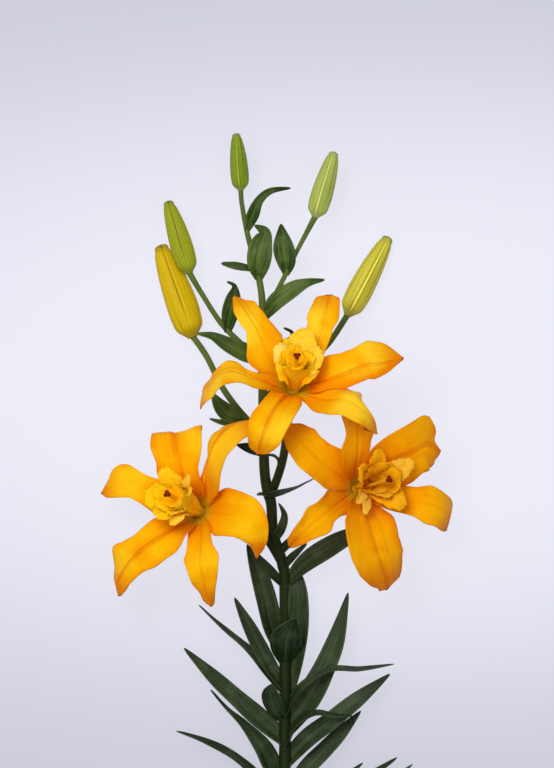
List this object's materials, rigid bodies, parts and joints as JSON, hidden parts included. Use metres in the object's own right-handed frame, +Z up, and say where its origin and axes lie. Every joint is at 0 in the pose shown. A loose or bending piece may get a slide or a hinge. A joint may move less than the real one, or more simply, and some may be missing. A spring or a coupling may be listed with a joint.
{
  "type": "la hybrid lily",
  "caption": "Cut stem of an LA hybrid lily lying on its back: open double golden-orange blooms, closed buds above them and narrow leaves all down the stem. For a vase or bouquet.",
  "frame": {"origin": "on the surface that the stem lies on, under the middle of its box", "axes": "+Y from the cut end to the highest bud, +Z up from the surface, the way the blooms look, +X to the right seen from above with the buds away from the viewer"},
  "size_m": [0.2807, 0.6998, 0.1253],
  "materials": {
    "leafy_stem": "satin, waxy dark green with fine parallel veins",
    "tepals": "soft satin golden orange, darker along the midrib",
    "petaloids": "matte, crinkled pale yellow",
    "pistil": "satin yellow-green",
    "stigma": "moist, dark maroon",
    "bud_top": "satin green",
    "bud_upper_right": "satin pale green with darker seams",
    "bud_lower_right": "satin yellow-green with yellow seams",
    "bud_upper_left": "satin olive green",
    "bud_lower_left": "satin golden yellow with olive edges"
  },
  "bodies": {
    "root": {"leafy_stem": "leafy_stem", "bloom_top_tepals": "tepals", "bloom_top_petaloids": "petaloids", "bloom_top_pistil": "pistil", "bloom_top_stigma": "stigma", "bloom_left_tepals": "tepals", "bloom_left_petaloids": "petaloids", "bloom_left_pistil": "pistil", "bloom_left_stigma": "stigma", "bloom_right_tepals": "tepals", "bloom_right_petaloids": "petaloids", "bloom_right_pistil": "pistil", "bloom_right_stigma": "stigma", "bud_top": "bud_top", "bud_upper_right": "bud_upper_right", "bud_lower_right": "bud_lower_right", "bud_upper_left": "bud_upper_left", "bud_lower_left": "bud_lower_left"}
  },
  "joints": []
}
